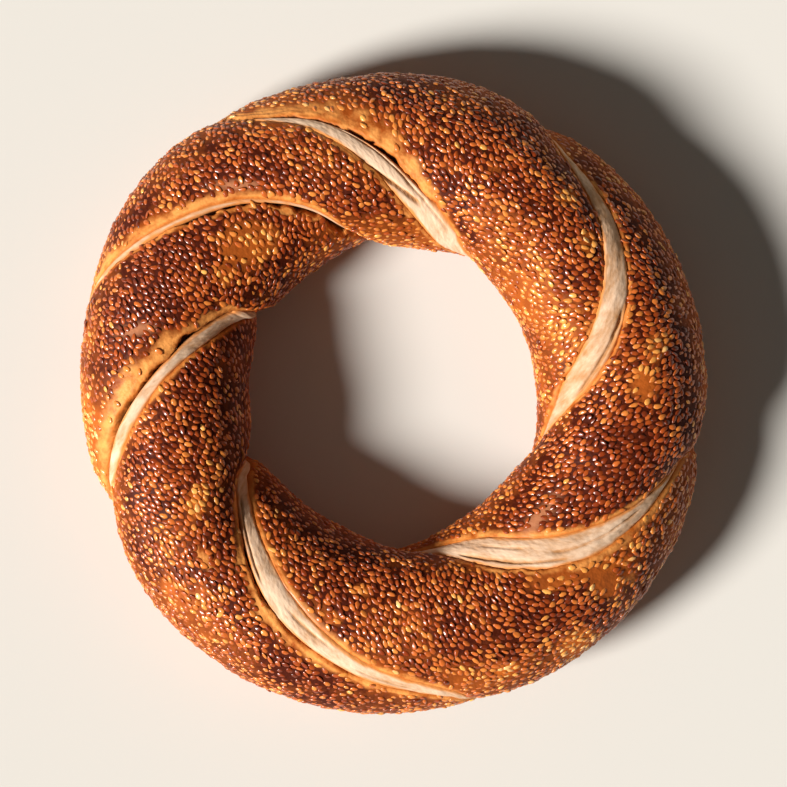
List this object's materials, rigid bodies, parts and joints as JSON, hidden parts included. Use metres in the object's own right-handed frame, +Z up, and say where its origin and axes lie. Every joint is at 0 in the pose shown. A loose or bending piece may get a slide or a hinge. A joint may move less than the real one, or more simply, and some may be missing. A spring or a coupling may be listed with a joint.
{
  "type": "simit",
  "caption": "Ring of bread twisted from two strands of dough, browned and coated with sesame, with pale splits where the strands meet and a round hole.",
  "frame": {"origin": "centre of the ring's box, on the surface it lies on", "axes": "+Z up out of the ring's hole; +X to the right and +Y away, as the ring is seen from above with the widest split at the far side"},
  "size_m": [0.18, 0.1838, 0.0404],
  "materials": {
    "crust": "browned bread crust, slightly shiny, golden beside the splits",
    "split_dough": "pale torn dough, dry and matt",
    "sesame": "toasted sesame seed with a thin shiny glaze"
  },
  "bodies": {
    "root": {"simit": "crust"}
  },
  "joints": []
}
